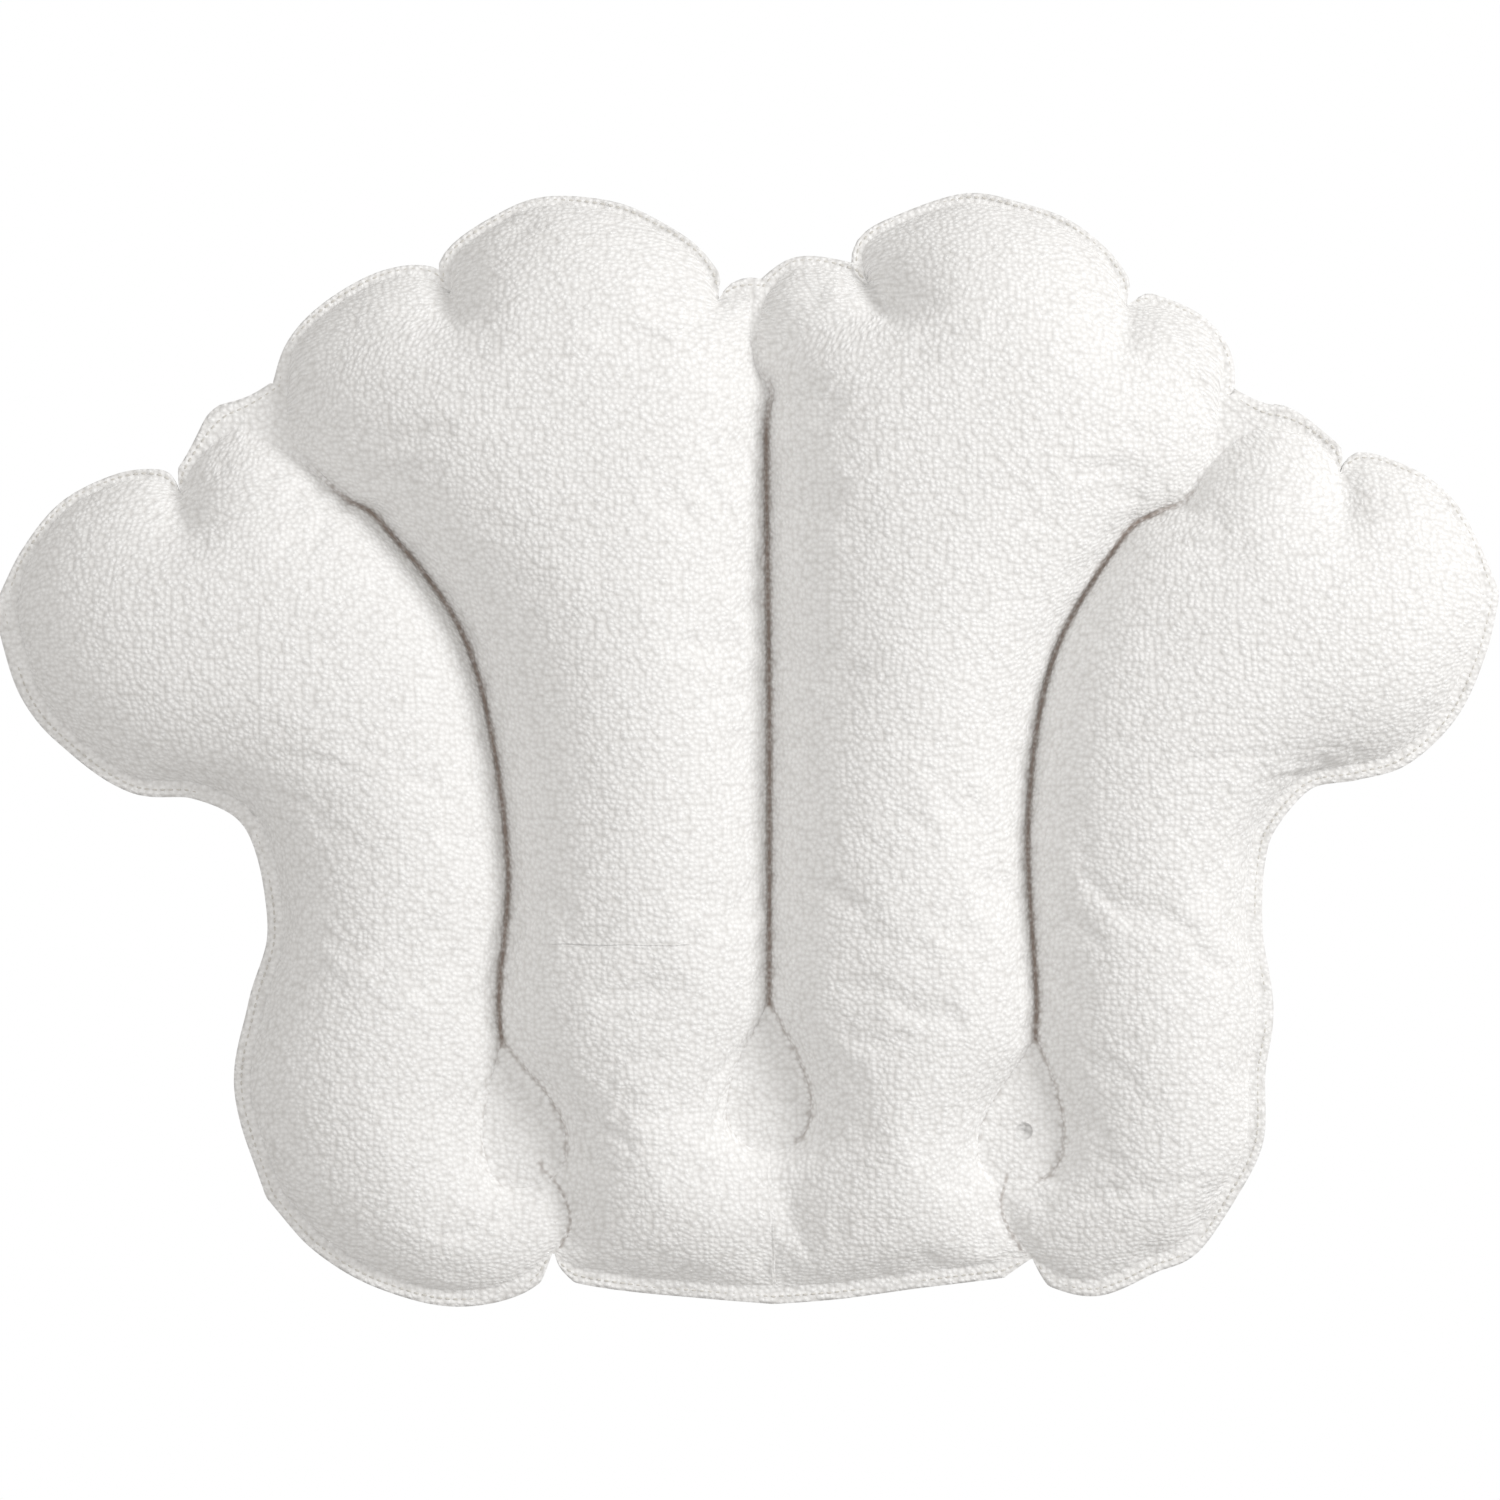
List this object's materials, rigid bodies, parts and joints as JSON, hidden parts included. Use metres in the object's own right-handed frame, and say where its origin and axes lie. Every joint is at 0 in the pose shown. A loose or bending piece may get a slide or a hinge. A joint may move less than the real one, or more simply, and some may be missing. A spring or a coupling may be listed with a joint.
{
  "type": "bath pillow",
  "caption": "Inflatable scallop-shaped terry bath pillow with welded air lobes, teardrop flats, suction cups on the back and a push-in air valve.",
  "frame": {"origin": "middle of the pillow's outline, in the plane of the suction cups' rims, which is the bath wall", "axes": "+X to the right and +Z to the head end as the bather sees the terry face, +Y into the wall"},
  "size_m": [0.5504, 0.0827, 0.408],
  "materials": {
    "terry": "looped pile",
    "white_vinyl": "satin",
    "clear_film": "gloss",
    "clear_vinyl": "gloss"
  },
  "bodies": {
    "pillow": {"front_panel": "terry", "front_liner": "clear_film", "back_panel": "white_vinyl", "cup_patch_1": "white_vinyl", "cup_patch_2": "white_vinyl", "cup_patch_3": "white_vinyl", "cup_patch_4": "white_vinyl", "cup_patch_5": "white_vinyl", "cup_patch_6": "white_vinyl", "valve_flange": "white_vinyl", "valve_skirt": "white_vinyl"},
    "valve_tube": {"valve_stem": "white_vinyl"},
    "plug": {"valve_plug": "white_vinyl", "valve_tether": "white_vinyl"},
    "flap": {"valve_flap": "clear_film"},
    "cup_1": {"suction_cup_1": "clear_vinyl"},
    "cup_2": {"suction_cup_2": "clear_vinyl"},
    "cup_3": {"suction_cup_3": "clear_vinyl"},
    "cup_4": {"suction_cup_4": "clear_vinyl"},
    "cup_5": {"suction_cup_5": "clear_vinyl"},
    "cup_6": {"suction_cup_6": "clear_vinyl"}
  },
  "joints": [
    {"name": "valve_push", "type": "slide", "parent": "pillow", "child": "valve_tube", "axis": [0, -1, 0], "range_m": [0, 0.005], "deforming": ["valve_skirt"]},
    {"name": "plug_swing", "type": "hinge", "parent": "valve_tube", "child": "plug", "pos_m": [0.056, -0.0072, -0.088], "axis": [1, 0, 0], "range_deg": [0, 90]},
    {"name": "flap_swing", "type": "hinge", "parent": "valve_tube", "child": "flap", "pos_m": [0.056, -0.0224, -0.0898], "axis": [-1, 0, 0], "range_deg": [0, 60]},
    {"name": "cup_1_swivel", "type": "hinge", "parent": "pillow", "child": "cup_1", "pos_m": [-0.214, -0.0113, 0.043], "axis": [0, 1, 0], "continuous": true},
    {"name": "cup_2_swivel", "type": "hinge", "parent": "pillow", "child": "cup_2", "pos_m": [-0.07, -0.0113, 0.115], "axis": [0, 1, 0], "continuous": true},
    {"name": "cup_3_swivel", "type": "hinge", "parent": "pillow", "child": "cup_3", "pos_m": [0.077, -0.0113, 0.115], "axis": [0, 1, 0], "continuous": true},
    {"name": "cup_4_swivel", "type": "hinge", "parent": "pillow", "child": "cup_4", "pos_m": [0.218, -0.0113, 0.048], "axis": [0, 1, 0], "continuous": true},
    {"name": "cup_5_swivel", "type": "hinge", "parent": "pillow", "child": "cup_5", "pos_m": [-0.137, -0.0113, -0.095], "axis": [0, 1, 0], "continuous": true},
    {"name": "cup_6_swivel", "type": "hinge", "parent": "pillow", "child": "cup_6", "pos_m": [0.147, -0.0113, -0.095], "axis": [0, 1, 0], "continuous": true}
  ]
}
